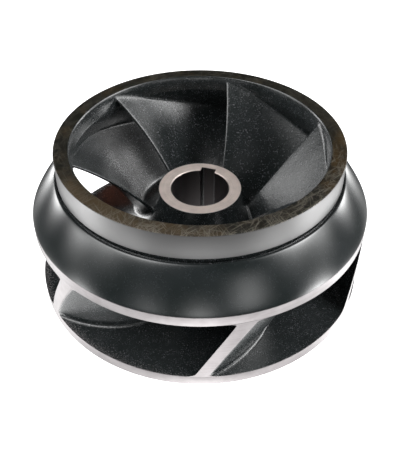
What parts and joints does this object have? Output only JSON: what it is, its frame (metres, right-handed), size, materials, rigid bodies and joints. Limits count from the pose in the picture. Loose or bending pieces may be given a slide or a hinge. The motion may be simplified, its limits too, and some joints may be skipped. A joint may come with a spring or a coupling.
{
  "type": "closed pump impeller",
  "caption": "Closed mixed-flow pump impeller cast in one piece: suction neck, conical front shroud, back-swept twisted vanes, flat back shroud, keyed shaft hub.",
  "frame": {"origin": "on the shaft axis, at the flat back face it stands on", "axes": "+Z along the shaft axis from the back shroud to the suction eye; the picture looks along +Y, and the keyway is at the back, 16 degrees to the right of +Y"},
  "size_m": [0.2166, 0.2166, 0.1013],
  "materials": {
    "coated_iron": "cast iron with a black semi-gloss coating, turned bare on the outer diameter and the hub face"
  },
  "bodies": {
    "root": {"front_shroud": "coated_iron", "back_shroud_and_hub": "coated_iron", "vane_1": "coated_iron", "vane_2": "coated_iron", "vane_3": "coated_iron", "vane_4": "coated_iron", "vane_5": "coated_iron", "vane_6": "coated_iron"}
  },
  "joints": []
}
